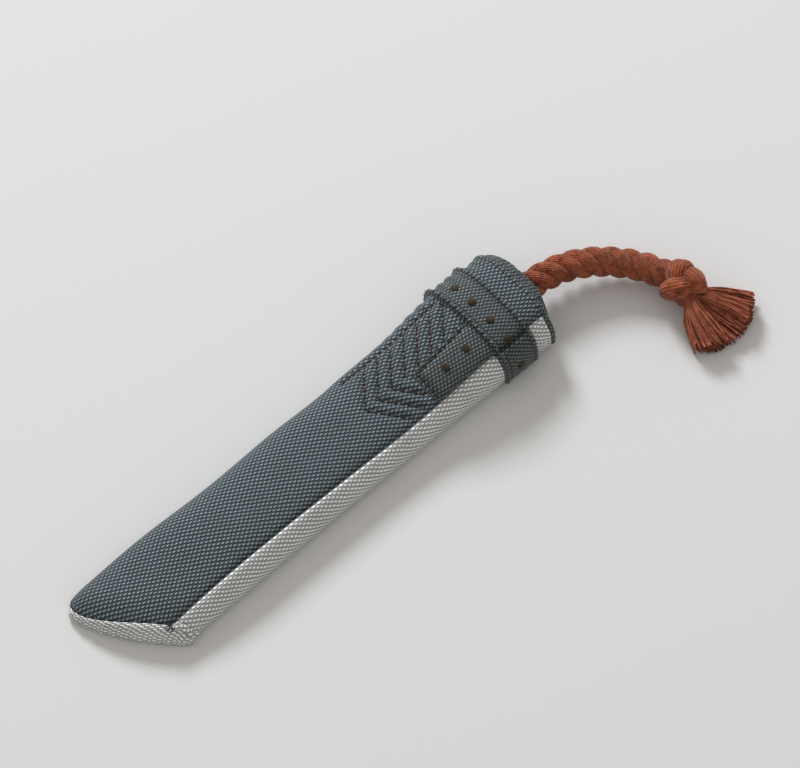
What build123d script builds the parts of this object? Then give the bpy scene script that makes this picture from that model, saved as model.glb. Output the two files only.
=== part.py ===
from build123d import *
import math
import os

# Training bumper: a flat padded fabric bar with a curved front end, a gathered
# collar near its rear end, and a twisted rope that ends in a knot and a tassel.
# X runs along the bar from its front end to the rope, Y across it with the pale
# edge strip on the -Y side, and Z up from the surface it lies on. Millimetres.

# ---- driving dimensions ----
FRONT_X = -125.9          # foremost point of the bar
RIDGE_X = 117.5           # seam between the bar and its end panel
END_X = 125.0             # rearmost point of the end panel
BAR_WIDTH = 48.0
COVER_THICKNESS = 1.2
FIT = 0.08                # clearance round the filling
SEAM_Y = -16.0            # top and bottom seams of the pale edge strip
SIDE_SEAM_Z = 3.0         # seam between the top and bottom covers on the far side
STRIP_DEPTH = 2.4         # depth of the pale strip across the front end
FRONT_SLANT = 27.0        # how much further back the front end's near corner is
FRONT_BOW_X = 7.6         # how far back the front edge is on its way, at FRONT_BOW_Y
FRONT_BOW_Y = -1.0
FRONT_CORNER_Y = 26.0
FRONT_CORNER_RADIUS = 6.0
EDGE_RADIUS = 8.5         # largest rounding of the bar's cross-section
REACH = 200.0             # longer and wider than any piece, for cutting blocks

COLLAR_FRONT_X = 87.0
COLLAR_REAR_X = 107.5
COLLAR_WIDTH = 53.0
COLLAR_HEIGHT = 26.4
HEM_LENGTH = 2.4
HEM_RAISE = 0.7
RIDGE_RAISE = 0.8
RIDGE_LENGTH = 1.6

PATCH_FRONT_X = 57.0
PATCH_FAR_Y = 0.5
PATCH_THICKNESS = 0.8
DOT_DIAMETER = 3.0
DOT_RAISE = 0.7
DOT_SPACING = 12.0
COLLAR_DOT_FAR_Y = 18.5
COLLAR_SIDE_DOT_Z = 11.0
PATCH_DOT_Y = -7.6
PATCH_DOT_SETBACK = 12.4
THREAD_WIDTH = 0.7
THREAD_RAISE = 0.45
STITCH_LENGTH = 2.2
STITCH_PITCH = 3.4
STITCH_HEADING = 66.0
STITCH_SLANT = 0.45       # how far a row moves back for each step across
STITCH_FRONT_X = 27.0
STITCH_FAR_Y = 20.5
STITCH_ROW_STARTS_Y = (-12.0, -12.0, 4.0, 4.0, 4.0)
STITCH_ROW_SPACING = 12.0
STITCH_PAIR_SPACING = 3.0
THREAD_FLOOR_Z = 6.5      # threads lie on the top of the bar, above this height
YARN_END_LENGTH = 3.2
YARN_END_WIDTH = 0.5
YARN_END_CORNER = (-93.0, -15.2)

ROPE_DIAMETER = 13.2
ROPE_Z = 12.6             # height of the rope's exit
ROOT_FRONT_X = 104.0
ROOT_REAR_X = 126.0
ROPE_HOLE_GAP = 0.05
STOP_KNOT_DIAMETER = 18.0
STOP_KNOT_LENGTH = 14.0
STOP_KNOT_ROUNDING = 5.0
STOP_KNOT_X = ROOT_FRONT_X - STOP_KNOT_LENGTH / 2
POCKET_LENGTH = 16.4
BINDING_X = ROOT_FRONT_X + 4.0
BINDING_LENGTH = 4.0
BINDING_THICKNESS = 1.0
BALL_RADIUS = 6.9         # rounded start of the free rope
BALL_GAP = 0.4

SWING_X = ROOT_REAR_X + BALL_GAP + BALL_RADIUS

# The bar's cross-sections: X, width, thickness and height of the underside.
RIDGE_SECTION = (49.0, 22.8, 1.6)
BAR_STATIONS = [
    (-132.0, 45.0, 6.5, 0.0),
    (-100.0, BAR_WIDTH, 11.0, 0.0),
    (-55.0, BAR_WIDTH, 15.5, 0.0),
    (0.0, 47.0, 17.0, 0.0),
    (50.0, BAR_WIDTH, 18.6, 0.2),
    (82.0, 49.4, 22.4, 1.5),
    (100.0, 49.4, 23.0, 1.6),
    (RIDGE_X, *RIDGE_SECTION),
]
END_STATIONS = [
    (RIDGE_X, *RIDGE_SECTION),
    (RIDGE_X + 4.5, 44.0, 19.6, 3.0),
    (END_X, 34.0, 15.6, 4.8),
]

# The free rope's route, from its exit to the neck of the tassel.
ROPE_ROUTE = [
    (124.0, 0.0, 12.6),
    (135.0, -1.0, 12.4),
    (147.5, -5.3, 11.4),
    (158.3, -12.6, 10.2),
    (166.9, -22.3, 9.4),
    (173.0, -33.4, 9.2),
    (175.9, -45.6, 9.6),
    (176.4, -54.6, 9.4),
]
KNOT_CENTRE = (175.2, -44.6, 10.4)
KNOT_SIZE = (23.4, 17.6, 20.4)
TASSEL_LENGTH = 22.0
TASSEL_SPREAD = 34.0
TASSEL_HEIGHT = 13.0


def section(x, width, thickness, bottom, grow=0.0):
    """One rounded cross-section of the bar, grown outwards by `grow`."""
    height = thickness + 2 * grow
    radius = min(0.44 * height, EDGE_RADIUS + grow)
    plane = Plane(origin=(x, 0, bottom + thickness / 2), x_dir=(0, 1, 0), z_dir=(1, 0, 0))
    return plane * RectangleRounded(width + 2 * grow, height, radius)


def skin_loft(stations, grow=0.0):
    return loft([section(*station, grow=grow) for station in stations])


def front_outline(shift):
    """The bar seen from above, as a tall prism; `shift` moves its front edge back."""
    front = FRONT_X + shift
    near = (front + FRONT_SLANT, -FRONT_CORNER_Y)
    far = (front, FRONT_CORNER_Y)
    edge = ThreePointArc(near, (front + FRONT_BOW_X, FRONT_BOW_Y), far)
    rear = Polyline(far, (REACH, FRONT_CORNER_Y), (REACH, -FRONT_CORNER_Y), near)
    face = make_face(Curve() + [edge, rear])
    corner = face.vertices().sort_by(Axis.X)[0]
    return extrude(fillet(corner, FRONT_CORNER_RADIUS), REACH)


def box_between(low, high):
    size = [high[i] - low[i] for i in range(3)]
    middle = [(high[i] + low[i]) / 2 for i in range(3)]
    return Pos(*middle) * Box(*size)


def beyond_y(y, side):
    """A big block on one side of the plane Y = y."""
    span = (y, y + side * REACH)
    return box_between((-REACH, min(span), -REACH), (REACH, max(span), REACH))


def slab(front, rear, width, height):
    """A length of rounded bar that stands on the floor."""
    sections = [section(x, width, height, 0.0) for x in (front, rear)]
    return loft(sections)


outer = skin_loft(BAR_STATIONS)
hollow = skin_loft(BAR_STATIONS, -COVER_THICKNESS)
behind_strip = front_outline(STRIP_DEPTH)
shell = (outer & behind_strip) - hollow


def make_covers():
    dark = shell & beyond_y(SEAM_Y, 1)
    upper = box_between((-REACH, -REACH, SIDE_SEAM_Z), (REACH, REACH, REACH))
    return {"top_cover": dark & upper, "bottom_cover": dark - upper}


def make_strips():
    return {
        "edge_strip": shell & beyond_y(SEAM_Y, -1),
        "tip_strip": (outer & front_outline(0.0)) - behind_strip,
    }


def rod(centre_x, radius, length):
    """A cylinder on the rope's line, inside the bar."""
    return Pos(centre_x, 0, ROPE_Z) * Rot(0, 90, 0) * Cylinder(radius, length)


def rope_bore(radius):
    length = REACH - ROOT_FRONT_X
    return rod(ROOT_FRONT_X + length / 2, radius, length)


def make_filling():
    filling = skin_loft(BAR_STATIONS, -COVER_THICKNESS - FIT) & front_outline(STRIP_DEPTH + FIT)
    filling -= rod(STOP_KNOT_X, STOP_KNOT_DIAMETER / 2 + FIT, POCKET_LENGTH)
    return {"fill_core": filling - rope_bore(ROPE_DIAMETER / 2 + BINDING_THICKNESS + 0.2)}


def make_end_panel():
    cap = skin_loft(END_STATIONS)
    inner = [(x - COVER_THICKNESS, w, t, b) for x, w, t, b in END_STATIONS[1:]]
    inner.insert(0, (RIDGE_X, *END_STATIONS[0][1:]))
    cap -= skin_loft(inner, -COVER_THICKNESS)
    cap -= rope_bore(ROPE_DIAMETER / 2 + ROPE_HOLE_GAP)
    ridge = skin_loft(
        [(RIDGE_X + side * RIDGE_LENGTH / 2, *RIDGE_SECTION) for side in (-1, 1)],
        RIDGE_RAISE)
    ridge = ridge - outer - skin_loft(END_STATIONS)
    return {"end_panel": cap, "end_seam_ridge": ridge}


def make_collar():
    band = slab(COLLAR_FRONT_X + HEM_LENGTH, COLLAR_REAR_X - HEM_LENGTH, COLLAR_WIDTH, COLLAR_HEIGHT)
    nodes = {"collar_band": band - outer}
    hems = {
        "collar_front_hem": COLLAR_FRONT_X,
        "collar_rear_hem": COLLAR_REAR_X - HEM_LENGTH,
    }
    for name, front in hems.items():
        hem = slab(front, front + HEM_LENGTH, COLLAR_WIDTH + 2 * HEM_RAISE, COLLAR_HEIGHT + HEM_RAISE)
        nodes[name] = hem - outer
    return nodes


def make_collar_dots():
    """A row of embroidered dots round the top and the near side of the collar."""
    middle = (COLLAR_FRONT_X + COLLAR_REAR_X) / 2
    raised = slab(middle - 4, middle + 4, COLLAR_WIDTH + 2 * DOT_RAISE, COLLAR_HEIGHT + DOT_RAISE)
    raised -= slab(middle - 5, middle + 5, COLLAR_WIDTH, COLLAR_HEIGHT)
    dots = []
    for step in range(4):
        y = COLLAR_DOT_FAR_Y - DOT_SPACING * step
        dots.append(raised & (Pos(middle, y, COLLAR_HEIGHT) * Cylinder(DOT_DIAMETER / 2, 12)))
    side = Pos(middle, -COLLAR_WIDTH / 2, COLLAR_SIDE_DOT_Z) * Rot(90, 0, 0) * Cylinder(DOT_DIAMETER / 2, 6)
    dots.append(raised & side)
    return {"collar_dots": Compound(children=[solid for dot in dots for solid in dot.solids()])}


def make_patch():
    patch_box = box_between((PATCH_FRONT_X, SEAM_Y, 10), (COLLAR_FRONT_X - 0.1, PATCH_FAR_Y, 60))
    sheet = skin_loft(BAR_STATIONS, PATCH_THICKNESS)
    raised = skin_loft(BAR_STATIONS, PATCH_THICKNESS + DOT_RAISE) - sheet
    dots = []
    for step in range(2):
        x = PATCH_FRONT_X + PATCH_DOT_SETBACK + DOT_SPACING * step
        post = Pos(x, PATCH_DOT_Y, COLLAR_HEIGHT) * Cylinder(DOT_DIAMETER / 2, 20)
        dots += (raised & post).solids()
    return {"reinforcement_patch": (sheet & patch_box) - outer, "patch_dots": Compound(children=dots)}


def stitch_rows():
    """Where each row of decorative stitches starts: plain slanted rows in pairs."""
    rows = []
    for row, start_y in enumerate(STITCH_ROW_STARTS_Y):
        start_x = STITCH_FRONT_X + STITCH_ROW_SPACING * row
        rows += [(start_x, start_y), (start_x + STITCH_PAIR_SPACING, start_y)]
    return rows


def make_topstitches():
    skin = skin_loft(BAR_STATIONS, THREAD_RAISE) - outer
    threads = []
    for start_x, start_y in stitch_rows():
        for step in range(int((STITCH_FAR_Y - start_y) / STITCH_PITCH)):
            y = start_y + STITCH_PITCH * step
            x = start_x + STITCH_SLANT * (y - start_y)
            block = Pos(x, y, 20) * Rot(0, 0, STITCH_HEADING) * Box(STITCH_LENGTH, THREAD_WIDTH, 24)
            threads += (skin & block).solids().filter_by(lambda piece: piece.center().Z > THREAD_FLOOR_Z)
    return {"topstitch_threads": Compound(children=threads)}


def make_corner_threads():
    """Loose dark yarn ends where the two pale strips meet."""
    skin = skin_loft(BAR_STATIONS, THREAD_RAISE) - outer
    threads = []
    for step in range(4):
        heading = -35.0 + 14.0 * step
        place = Pos(YARN_END_CORNER[0] + 0.8 * step, YARN_END_CORNER[1] - 1.1 * step, 10)
        block = place * Rot(0, 0, heading) * Box(YARN_END_LENGTH, YARN_END_WIDTH, 14)
        threads += (skin & block).solids().filter_by(lambda piece: piece.center().Z > THREAD_FLOOR_Z)
    return {"corner_threads": Compound(children=threads)}


def make_rope_root():
    root = rod((ROOT_REAR_X + ROOT_FRONT_X) / 2, ROPE_DIAMETER / 2, ROOT_REAR_X - ROOT_FRONT_X)
    stop = rod(STOP_KNOT_X, STOP_KNOT_DIAMETER / 2, STOP_KNOT_LENGTH)
    stop = fillet(stop.edges(), STOP_KNOT_ROUNDING)
    wound = rod(BINDING_X, ROPE_DIAMETER / 2 + BINDING_THICKNESS, BINDING_LENGTH)
    binding = wound - rod(BINDING_X, ROPE_DIAMETER / 2 + 0.02, BINDING_LENGTH + 1)
    return {"rope_root": root, "inner_stop_knot": stop, "anchor_binding": binding}


def rope_path():
    """Straight runs joined by arcs as large as the runs allow."""
    points = [Vector(*point) for point in ROPE_ROUTE]
    runs = [points[i + 1] - points[i] for i in range(len(points) - 1)]
    radii = []
    for before, after in zip(runs, runs[1:]):
        turn = math.radians(before.get_angle(after))
        radii.append(0.45 * min(before.length, after.length) / math.tan(turn / 2))
    print("rope radii", [round(radius, 1) for radius in radii])
    return FilletPolyline(*points, radius=radii)


def make_free_rope():
    path = rope_path()
    start = Plane(origin=path @ 0, z_dir=path % 0)
    tube = sweep(start * Circle(ROPE_DIAMETER / 2), path=path)
    expected = math.pi * (ROPE_DIAMETER / 2) ** 2 * path.length
    print("rope length", round(path.length, 2), "volume ratio", round(tube.volume / expected, 4))
    knot = Pos(*KNOT_CENTRE) * scale(Sphere(0.5), by=KNOT_SIZE)
    knot -= tube
    first, second = Vector(*ROPE_ROUTE[0]), Vector(*ROPE_ROUTE[1])
    along = (SWING_X - first.X) / (second.X - first.X)
    pivot = first + (second - first) * along
    print("swing pivot", [round(value, 3) for value in pivot])
    free = tube & box_between((pivot.X, -REACH, -REACH), (REACH, REACH, REACH))
    free += Pos(*pivot) * Sphere(BALL_RADIUS)
    return {"rope": free, "rope_knot": knot, "tassel": make_tassel() - tube}


def make_tassel():
    """The frayed end, a flat fan of yarns from the rope's end."""
    neck = Vector(*ROPE_ROUTE[-1])
    plane = Plane(origin=neck, x_dir=(1, 0, 0), z_dir=(0.02, -1, 0))
    end = plane.offset(TASSEL_LENGTH)
    end_origin = Vector(end.origin.X + 1.0, end.origin.Y, TASSEL_HEIGHT / 2 + 0.2)
    wide = Plane(origin=end_origin, x_dir=(1, 0, 0), z_dir=plane.z_dir)
    return loft([
        plane * RectangleRounded(ROPE_DIAMETER, ROPE_DIAMETER - 1.0, 5.0),
        wide * RectangleRounded(TASSEL_SPREAD, TASSEL_HEIGHT, 5.5),
    ])


nodes = {}
for maker in (make_filling, make_covers, make_strips, make_corner_threads, make_patch, make_topstitches,
              make_collar, make_collar_dots, make_end_panel, make_rope_root, make_free_rope):
    nodes.update(maker())

# The origin is the middle of the bar's box without the rope, on the surface below it.
CORD_NODES = ("rope_root", "rope", "rope_knot", "tassel")
bar_box = Compound(children=[shape for name, shape in nodes.items() if name not in CORD_NODES]).bounding_box()
centre = Vector(-(bar_box.min.X + bar_box.max.X) / 2, -(bar_box.min.Y + bar_box.max.Y) / 2, -bar_box.min.Z)
print("box", bar_box.min, bar_box.max, "shift", centre)

os.makedirs("parts", exist_ok=True)
for name, shape in nodes.items():
    export_step(Pos(*centre) * Compound(children=shape.solids()), f"parts/{name}.step")
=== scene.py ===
# %% [markdown]
# # Training bumper: a padded bar of woven nylon with a rope tail
# The bar is one long fabric tube, stuffed, with a pale strip down one edge. Every cloth
# panel on it follows the same crowned cross-section, so the whole bar is made from one
# surface function, and each panel is a patch of it. That is quicker to keep true than
# modelling each panel by hand, and neighbouring panels always meet at their seams.
# Lengths are in metres, as in the CAD frame, unless a name ends in `_mm`.

# %% Frame and tools
import bpy
import math
import numpy as np
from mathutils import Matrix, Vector


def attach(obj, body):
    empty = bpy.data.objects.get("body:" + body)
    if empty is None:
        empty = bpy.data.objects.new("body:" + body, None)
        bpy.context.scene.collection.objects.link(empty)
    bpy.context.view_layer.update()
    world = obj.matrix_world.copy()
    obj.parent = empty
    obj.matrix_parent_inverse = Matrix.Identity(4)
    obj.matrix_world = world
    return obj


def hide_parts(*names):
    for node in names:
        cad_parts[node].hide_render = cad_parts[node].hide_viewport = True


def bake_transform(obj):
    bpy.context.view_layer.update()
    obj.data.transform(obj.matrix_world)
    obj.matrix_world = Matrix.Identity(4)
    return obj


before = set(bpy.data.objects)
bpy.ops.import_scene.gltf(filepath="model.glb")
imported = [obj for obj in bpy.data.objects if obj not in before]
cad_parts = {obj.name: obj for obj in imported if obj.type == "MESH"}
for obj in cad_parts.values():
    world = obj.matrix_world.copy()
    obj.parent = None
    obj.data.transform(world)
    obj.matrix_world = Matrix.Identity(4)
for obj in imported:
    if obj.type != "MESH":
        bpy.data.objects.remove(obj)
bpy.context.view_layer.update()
BUMPER, TAIL = "bumper", "rope_tail"
MM = 0.001
rng = np.random.default_rng(7)

# %% [markdown]
# ## Camera
# A long lens from well above the near edge: parallel lines stay parallel, as they do in
# a product shot. It looks at a point on the floor beside the middle of the bar.

# %% Camera
VIEW_AZIMUTH, VIEW_ELEVATION = math.radians(-42.8), math.radians(62.0)
VIEW_DISTANCE = 8.0
VIEW_WIDTH = 0.3488
target = Vector((0.0549, 0.0075, 0.0))
towards_camera = Vector((
    math.sin(VIEW_AZIMUTH) * math.cos(VIEW_ELEVATION),
    -math.cos(VIEW_AZIMUTH) * math.cos(VIEW_ELEVATION),
    math.sin(VIEW_ELEVATION)))
camera_data = bpy.data.cameras.new("camera")
camera_data.sensor_width = 36.0
camera_data.lens = camera_data.sensor_width * VIEW_DISTANCE / VIEW_WIDTH
camera = bpy.data.objects.new("camera", camera_data)
bpy.context.scene.collection.objects.link(camera)
camera.location = target + towards_camera * VIEW_DISTANCE
camera.rotation_euler = towards_camera.to_track_quat("Z", "Y").to_euler()
bpy.context.scene.camera = camera
print("lens", round(camera_data.lens, 1), "mm")


# %% [markdown]
# ## The rope's route
# The rope is cotton, limp enough to bend round in a hand's width. Its route starts at
# the hole in the end panel and ends at the neck of the tassel. One smooth NURBS curve
# with the route's points as control points gives the line that the strands follow.

# %% Rope route
ROPE_EXIT = (0.124, 0.0, 0.0126)
ROPE_ROUTE = [
    ROPE_EXIT,
    (0.1350, -0.0010, 0.0124),
    (0.1475, -0.0053, 0.0114),
    (0.1583, -0.0126, 0.0102),
    (0.1669, -0.0223, 0.0094),
    (0.1730, -0.0334, 0.0092),
    (0.1759, -0.0456, 0.0096),
    (0.1764, -0.0546, 0.0094),
]


def nurbs_line(name, points):
    """The points of a smooth curve with these control points, evenly read."""
    data = bpy.data.curves.new(name, "CURVE")
    data.dimensions = "3D"
    data.resolution_u = 16
    spline = data.splines.new("NURBS")
    spline.points.add(len(points) - 1)
    for point, place in zip(spline.points, points):
        point.co = (*place, 1.0)
    spline.order_u = 3
    spline.use_endpoint_u = True
    holder = bpy.data.objects.new(name, data)
    line = bpy.data.meshes.new_from_object(holder)
    places = np.array([vertex.co[:] for vertex in line.vertices])
    bpy.data.objects.remove(holder)
    bpy.data.meshes.remove(line)
    return places


def resample(places, count):
    """The same line at equal steps, with its length."""
    steps = np.linalg.norm(np.diff(places, axis=0), axis=1)
    along = np.concatenate([[0.0], np.cumsum(steps)])
    wanted = np.linspace(0.0, along[-1], count)
    return np.column_stack([np.interp(wanted, along, places[:, k]) for k in range(3)]), along[-1]


rope_line, rope_length = resample(nurbs_line("rope_line", ROPE_ROUTE), 240)

# %% [markdown]
# ## Shader helpers
# Node trees read best as sums, so a socket is wrapped in a small class with the usual
# operators. Each operator adds one Math node, and `node` adds any other kind.


# %% Socket arithmetic
class Sock:
    """A shader socket that can be used in an expression."""

    def __init__(self, tree, socket):
        self.tree, self.socket = tree, socket

    def math(self, operation, *others, clamp=False):
        made = self.tree.nodes.new("ShaderNodeMath")
        made.operation = operation
        made.use_clamp = clamp
        for slot, value in enumerate((self, *others)):
            feed(self.tree, made.inputs[slot], value)
        return Sock(self.tree, made.outputs[0])

    def flip(self, operation, other):
        made = self.tree.nodes.new("ShaderNodeMath")
        made.operation = operation
        feed(self.tree, made.inputs[0], other)
        feed(self.tree, made.inputs[1], self)
        return Sock(self.tree, made.outputs[0])

    def __add__(self, other):
        return self.math("ADD", other)

    def __sub__(self, other):
        return self.math("SUBTRACT", other)

    def __mul__(self, other):
        return self.math("MULTIPLY", other)

    def __truediv__(self, other):
        return self.math("DIVIDE", other)

    def __pow__(self, other):
        return self.math("POWER", other)

    def __rsub__(self, other):
        return self.flip("SUBTRACT", other)

    def __rtruediv__(self, other):
        return self.flip("DIVIDE", other)

    __radd__ = __add__
    __rmul__ = __mul__


def feed(tree, socket, value):
    """Links a wrapped socket, or sets a plain value."""
    if isinstance(value, Sock):
        tree.links.new(value.socket, socket)
    else:
        socket.default_value = value


class Finish:
    """One material: its tree, its Principled shader, and a maker of nodes."""

    def __init__(self, name, **constants):
        self.material = bpy.data.materials.new(name)
        self.material.use_nodes = True
        self.tree = self.material.node_tree
        self.shader = self.tree.nodes["Principled BSDF"]
        for key, value in constants.items():
            self.shader.inputs[key.replace("_", " ")].default_value = value

    def node(self, kind, settings=None, output=0, **sockets):
        made = self.tree.nodes.new(kind)
        for key, value in (settings or {}).items():
            if key == "stops":
                ramp = made.color_ramp
                while len(ramp.elements) < len(value):
                    ramp.elements.new(0.5)
                for element, (place, colour) in zip(ramp.elements, value):
                    element.position, element.color = place, colour
            else:
                setattr(made, key, value)
        for key, value in sockets.items():
            slot = int(key[1:]) if key[0] == "i" and key[1:].isdigit() else key.replace("_", " ")
            feed(self.tree, made.inputs[slot], value)
        return Sock(self.tree, made.outputs[output])

    def mix(self, factor, first, second):
        made = self.node("ShaderNodeMix", {"data_type": "RGBA"}, 2, i0=factor)
        feed(self.tree, made.socket.node.inputs[6], first)
        feed(self.tree, made.socket.node.inputs[7], second)
        return made

    def drive(self, **sockets):
        for key, value in sockets.items():
            feed(self.tree, self.shader.inputs[key.replace("_", " ")], value)

    def bump(self, height, distance, strength=1.0):
        normal = self.node("ShaderNodeBump", Strength=strength, Distance=distance, Height=height)
        self.drive(Normal=normal)


def colour(red, green, blue):
    """A display colour, 0 to 255, as the linear colour that a shader takes."""
    linear = [((c / 255 + 0.055) / 1.055) ** 2.4 if c > 10 else c / 255 / 12.92 for c in (red, green, blue)]
    return (*linear, 1.0)


# %% [markdown]
# ## Woven nylon
# Ballistic nylon is a weave of thick, shiny multi-filament yarns. From above it reads as
# rows of small oval floats, each row shifted by half a float like bricks in a wall, with
# dark gaps between them and a little of the crossing yarns showing underneath. The
# material works this out from a `cloth` attribute, which holds each point's place on the
# flat cloth in millimetres: along the bar, and round it from the seam. The same height
# drives the colour, the gloss and the bump: the floats are glossier, and the colour has
# a painted highlight on each float's crest and painted shade in the gaps.

# %% Weave
PITCH_ALONG_MM, PITCH_ROUND_MM = 1.60, 1.08
FLOAT_HALF_LENGTH, FLOAT_HALF_WIDTH, FLOAT_LEAN = 0.66, 0.52, 0.2
NOISE_3D = {"noise_dimensions": "3D"}


def weave(name, crest_highlight, dull, gap_shade, blotch, lift, fineness=1.0):
    """Woven cloth: painted highlight colour of the float crests, the yarns' colour (crossings and float
    edges), painted shade colour of the gaps, unevenness, and relief in mm.
    """
    finish = Finish(name, Sheen_Weight=0.12, Sheen_Roughness=0.45, Specular_IOR_Level=0.6)
    cloth = finish.node("ShaderNodeAttribute", {"attribute_name": "cloth"}, 1)
    wander = finish.node("ShaderNodeTexNoise", NOISE_3D, Vector=cloth, Scale=0.16, Detail=2.0)
    along = finish.node("ShaderNodeSeparateXYZ", Vector=cloth)
    across = Sock(finish.tree, along.socket.node.outputs[1])
    a = along * (fineness / PITCH_ALONG_MM) + wander * 0.5
    b = across * (fineness / PITCH_ROUND_MM) + wander * 0.4
    beside, above = a.math("FRACT") - 0.5, b.math("FRACT") - 0.5
    parity = (a.math("FLOOR") + b.math("FLOOR")).math("PINGPONG", 1.0)
    from_float = beside - beside.math("SIGN") * (1 - parity)
    lean = above + from_float * FLOAT_LEAN
    oval = 1 - (from_float / FLOAT_HALF_LENGTH) ** 2.0 - (lean / FLOAT_HALF_WIDTH) ** 2.0
    float_yarn = oval.math("MAXIMUM", 0.0) ** 0.7
    under_yarn = (1 - (beside * 2) ** 2.0) * (1 - (above * 2) ** 2.0) * (1 - parity) * 0.45
    height = float_yarn.math("MAXIMUM", under_yarn)
    fibres = finish.node("ShaderNodeTexNoise", NOISE_3D, Vector=cloth, Scale=5.0, Detail=3.0)
    tone = finish.node("ShaderNodeTexNoise", NOISE_3D, Vector=cloth, Scale=0.8, Detail=2.0)
    wide_tone = finish.node("ShaderNodeTexNoise", NOISE_3D, Vector=cloth, Scale=0.07, Detail=3.0)
    # Painted light: float crests take the highlight colour, and the gaps between yarns the shade colour.
    yarn = finish.mix((float_yarn * 1.2).math("MINIMUM", 1.0), dull, crest_highlight)
    shaded = finish.mix((height * 1.5).math("POWER", 1.5, clamp=True), gap_shade, yarn)
    light = (tone - 0.5) * blotch * 2 + (fibres - 0.5) * 0.5 + (wide_tone - 0.5) * 0.35 + 1.0
    lit = finish.node("ShaderNodeVectorMath", {"operation": "SCALE"}, 0, Vector=shaded, Scale=light)
    finish.drive(Base_Color=lit, Roughness=0.74 - float_yarn * 0.36)
    finish.bump(height + fibres * 0.1, lift * MM)
    return finish.material


# Each weave takes a painted highlight colour for float crests, the yarn colour, and a painted shade colour
# for the gaps.
slate_weave = weave("slate_weave", colour(108, 128, 137), colour(40, 53, 61), colour(7, 10, 14),
                    blotch=0.3, lift=0.36)
# The same dark cloth as the cover, painted darker and lower in contrast: painted shade for the way its
# turned weave catches less light.
collar_weave_shaded = weave("collar_weave_shaded", colour(92, 105, 107), colour(42, 52, 55), colour(10, 14, 16),
                     blotch=0.55, lift=0.26, fineness=1.15)
pale_weave = weave("pale_weave", colour(250, 251, 250), colour(216, 219, 217), colour(118, 120, 119),
                   blotch=0.1, lift=0.2)
print("weave pitch", PITCH_ALONG_MM, "by", PITCH_ROUND_MM, "mm")

# %% [markdown]
# ## Thread, cotton and floor
# Sewing thread is two plies twisted together, so its bump runs in slanted lines. Soft
# cotton has no gloss at all: colour noise, fine slanted fibres and a little sheen. Where
# yarn ridges are given, they also darken the colour in their creases, as painted shade.


# %% Thread and cotton
def yarn_finish(name, light, dark, scale, depth, yarns=0):
    """A matte twisted fibre. The `twist` attribute gives its place along and round."""
    finish = Finish(name, Roughness=0.88, Sheen_Weight=0.12, Sheen_Roughness=0.5, Specular_IOR_Level=0.25)
    twist = finish.node("ShaderNodeAttribute", {"attribute_name": "twist"}, 1)
    fibres = finish.node("ShaderNodeTexNoise", NOISE_3D, Vector=twist, Scale=scale, Detail=4.0,
                         Roughness=0.65)
    place = finish.node("ShaderNodeTexCoord", None, 3)
    blotches = finish.node("ShaderNodeTexNoise", NOISE_3D, Vector=place, Scale=260.0, Detail=3.0)
    tone_and_crease_shade = fibres * 0.5 + blotches * 0.5
    height = fibres + blotches * 0.5
    if yarns:
        along = finish.node("ShaderNodeSeparateXYZ", Vector=twist)
        side, up = (Sock(finish.tree, along.socket.node.outputs[k]) for k in (1, 2))
        # The yarn ridges go into the colour too: painted shade in the creases between yarns, lighter on
        # their crests.
        ridge = (up.math("ARCTAN2", side) * yarns + along * 0.7 + blotches * 5.0).math("SINE")
        tone_and_crease_shade = tone_and_crease_shade + ridge * 0.06
        height = height + ridge * 0.45
    ramp = finish.node("ShaderNodeValToRGB", {"stops": [(0.32, dark), (0.66, light)]}, 0, Fac=tone_and_crease_shade)
    finish.drive(Base_Color=ramp)
    finish.bump(height, depth * MM)
    return finish.material


cotton = yarn_finish("rust_cotton", colour(176, 94, 60), colour(84, 34, 19), 1.0, 0.3, yarns=21)
tassel_cotton = yarn_finish("tassel_cotton", colour(190, 110, 80), colour(98, 42, 28), 1.2, 0.15)
brown_thread = yarn_finish("brown_thread", colour(82, 66, 44), colour(42, 33, 22), 1.6, 0.12)
stitch_thread = yarn_finish("stitch_thread", colour(74, 46, 36), colour(36, 21, 17), 1.6, 0.1)
loose_thread = yarn_finish("loose_thread", colour(52, 56, 60), colour(14, 16, 18), 1.6, 0.1)

# %% [markdown]
# ## The bar's surface
# Crosswise, the bar is a rounded box with a crowned top and a flat underside. Lengthwise
# it is thin at the front, even through the middle, and swells towards the collar, where
# the rope's stop knot sits inside. `BarSurface` samples that shape once, in millimetres,
# and then gives any point from its place along the bar and its distance round from the
# near seam: positive distances go over the top, negative ones down the pale edge.

# %% Bar profile
RIDGE_MM, END_MM = 117.5, 125.0
FRONT_LINE_MM = [(-26.0, -98.0), (-19.0, -104.8), (-4.4, -117.0),
                 (9.2, -124.4), (15.3, -126.6), (24.0, -128.4)]
BAR_WIDTH_MM, BAR_THICKNESS_MM = 47.6, 16.9
FRONT_THINNING_MM, COLLAR_SWELL_MM = 5.2, 6.0
UNDER_SHARE, OVER_SHARE = 0.26, 0.74
FLOOR_CLEARANCE_MM = 0.03


def smooth(low, high, x):
    t = np.clip((np.asarray(x, float) - low) / (high - low), 0.0, 1.0)
    return t * t * (3 - 2 * t)


def bar_width(x):
    waist = 1.5 * np.exp(-(((x + 5) / 62) ** 2))
    return BAR_WIDTH_MM - waist + 1.6 * smooth(55, 92, x)


def bar_thickness(x):
    thinning = FRONT_THINNING_MM * (1 - smooth(-125, -50, x))
    return BAR_THICKNESS_MM - thinning + COLLAR_SWELL_MM * smooth(28, 92, x)


def bar_underside(x):
    return 1.6 * smooth(52, 84, x)


def seam_y(x):
    return -16.0 - 2.0 * smooth(-40, 90, x)


front_curve = np.polyfit(*np.array(FRONT_LINE_MM).T, 3)


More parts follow.
